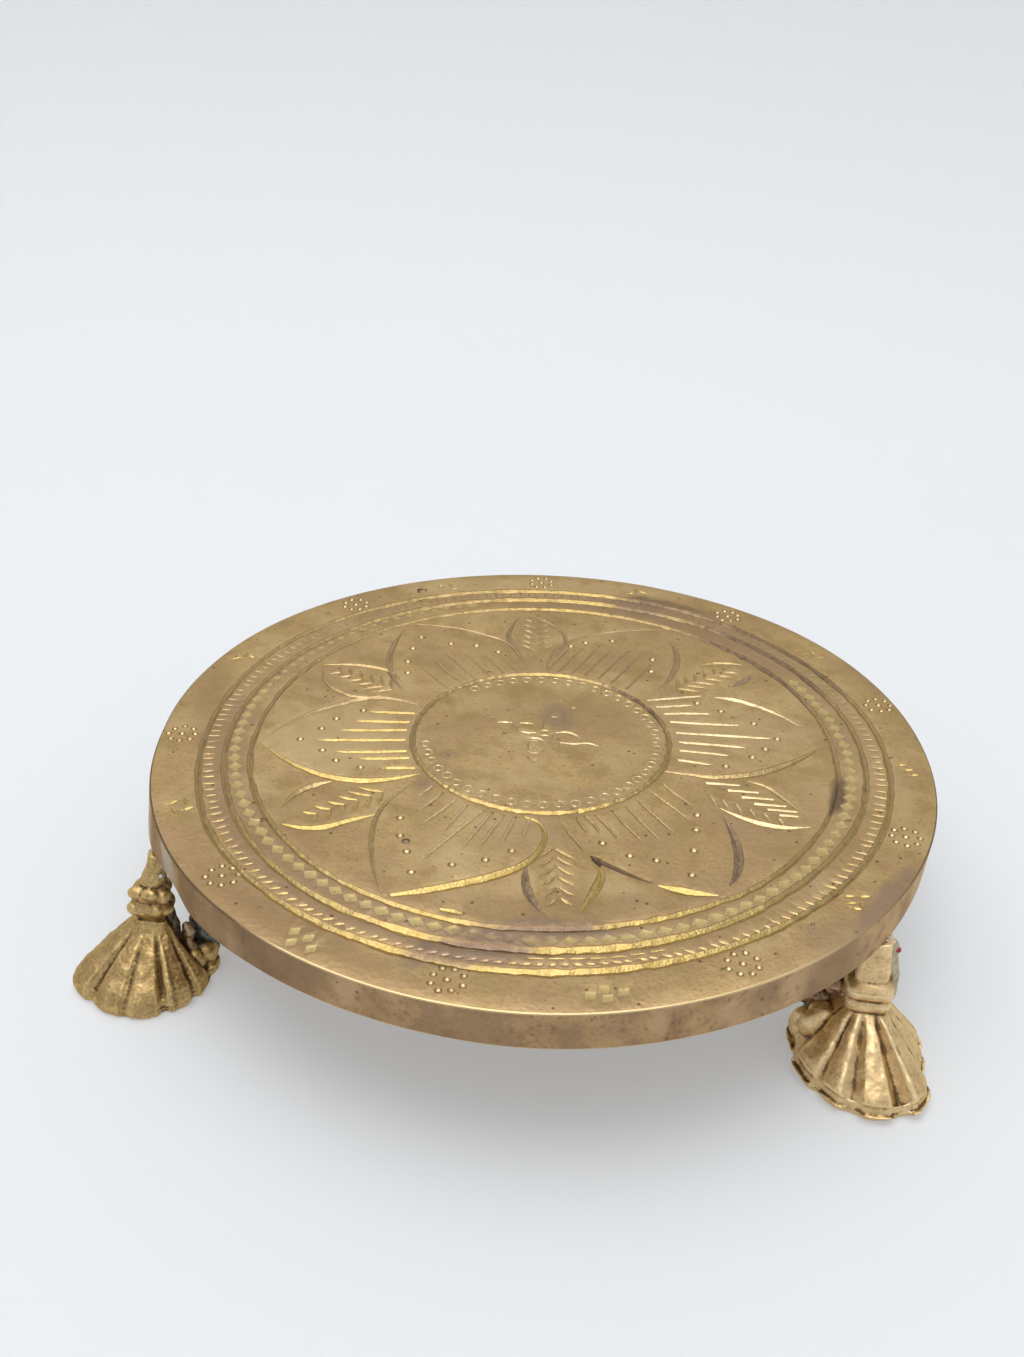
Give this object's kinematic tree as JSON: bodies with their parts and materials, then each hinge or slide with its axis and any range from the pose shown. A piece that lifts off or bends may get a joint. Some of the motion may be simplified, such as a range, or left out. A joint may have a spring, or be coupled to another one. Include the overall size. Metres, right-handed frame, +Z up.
{
  "type": "low table",
  "caption": "Round cast-brass low table: a thick plate chased with a lotus, on scallop-shell feet soldered under its rim.",
  "frame": {"origin": "on the ground, under the middle of the table's box", "axes": "+Z up, -Y to the front, where two feet stand side by side, +X to the right"},
  "size_m": [0.164, 0.1762, 0.036],
  "materials": {
    "plate": "worn satin, bright where chased",
    "cast_foot": "cast, half polished",
    "solder": "dull solder",
    "dull_solder": "dark, corroded solder"
  },
  "bodies": {
    "root": {"plate": "plate", "foot_front_left": "cast_foot", "solder_bead_front_left": "solder", "solder_web_front_left": "dull_solder", "foot_front_right": "cast_foot", "solder_bead_front_right": "solder", "solder_web_front_right": "dull_solder", "foot_back": "cast_foot", "solder_bead_back": "solder", "solder_web_back": "dull_solder"}
  },
  "joints": []
}
